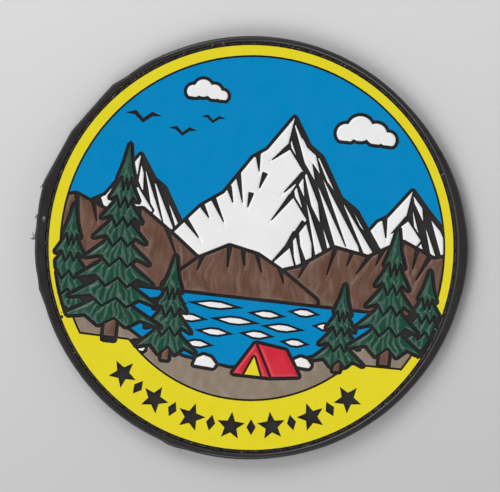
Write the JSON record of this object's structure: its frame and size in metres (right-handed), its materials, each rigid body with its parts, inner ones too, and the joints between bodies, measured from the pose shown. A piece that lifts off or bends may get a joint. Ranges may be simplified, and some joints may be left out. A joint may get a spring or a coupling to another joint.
{
  "type": "round moulded rubber patch",
  "caption": "Round soft-PVC patch with a raised rim, a sewn seam, a landscape in raised fields of colour and a hook-tape back.",
  "frame": {"origin": "centre of the back, on the plane of the hook tips", "axes": "+X to the right of the picture, +Y to its top, +Z out of the picture"},
  "size_m": [0.1012, 0.099, 0.0043],
  "materials": {
    "black_pvc": "satin black soft PVC, moulded",
    "hook_tape": "woven black nylon hook tape",
    "black_thread": "black polyester sewing thread",
    "yellow_pvc": "satin yellow soft PVC",
    "blue_pvc": "satin blue soft PVC",
    "white_pvc": "satin white soft PVC",
    "brown_pvc": "satin brown soft PVC",
    "green_pvc": "satin dark green soft PVC",
    "taupe_pvc": "satin taupe soft PVC",
    "red_pvc": "satin red soft PVC"
  },
  "bodies": {
    "root": {"base_body": "black_pvc", "hook_tape": "hook_tape", "seam_thread": "black_thread", "yellow_fill": "yellow_pvc", "blue_fill": "blue_pvc", "white_fill": "white_pvc", "brown_fill": "brown_pvc", "green_fill": "green_pvc", "taupe_fill": "taupe_pvc", "red_fill": "red_pvc"}
  },
  "joints": []
}
